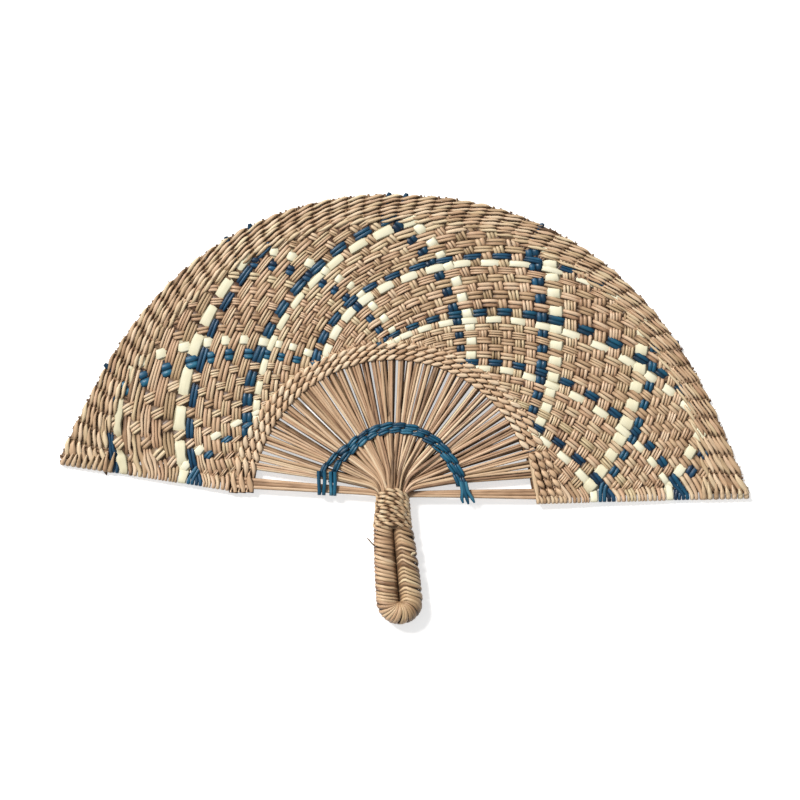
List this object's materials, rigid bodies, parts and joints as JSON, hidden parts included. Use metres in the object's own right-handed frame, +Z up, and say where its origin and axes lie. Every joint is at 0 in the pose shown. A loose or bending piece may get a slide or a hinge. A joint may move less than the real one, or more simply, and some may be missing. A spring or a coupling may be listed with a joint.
{
  "type": "woven straw hand fan",
  "caption": "Half-moon hand fan of woven straw with spread spokes, a twined inner band, a broad twined rim and a cord-bound loop handle.",
  "frame": {"origin": "middle of the plan box, on the surface that the fan lies on", "axes": "+X towards the right corner of the blade, +Y from the loop handle to the top of the blade, +Z up from the surface that it lies on"},
  "size_m": [0.4002, 0.247, 0.0131],
  "materials": {
    "straw": "natural dried straw, satin",
    "pale_straw": "pale dried straw, satin",
    "cord_straw": "split straw cord, satin",
    "blue_straw": "straw dyed dark blue, satin"
  },
  "bodies": {
    "root": {"spoke_bundle_01": "straw", "spoke_bundle_02": "straw", "spoke_bundle_03": "straw", "spoke_bundle_04": "straw", "spoke_bundle_05": "straw", "spoke_bundle_06": "straw", "spoke_bundle_07": "straw", "spoke_bundle_08": "straw", "spoke_bundle_09": "straw", "spoke_bundle_10": "straw", "spoke_bundle_11": "straw", "spoke_bundle_12": "straw", "spoke_bundle_13": "straw", "spoke_bundle_14": "straw", "right_edge_rib": "straw", "left_edge_rib": "straw", "band_row_1_strand_a": "pale_straw", "band_row_1_strand_b": "pale_straw", "band_row_2_strand_a": "pale_straw", "band_row_2_strand_b": "pale_straw", "band_row_3_strand_a": "pale_straw", "band_row_3_strand_b": "pale_straw", "blue_arc_strand_a": "blue_straw", "blue_arc_strand_b": "blue_straw", "woven_panel": "straw", "rim_row_1": "straw", "rim_row_2": "straw", "rim_row_3": "straw", "rim_row_4": "straw", "rim_row_5": "straw", "rim_row_6": "straw", "rim_row_7": "straw", "handle_core": "straw", "loop_wrap": "cord_straw", "neck_binding": "cord_straw"}
  },
  "joints": []
}
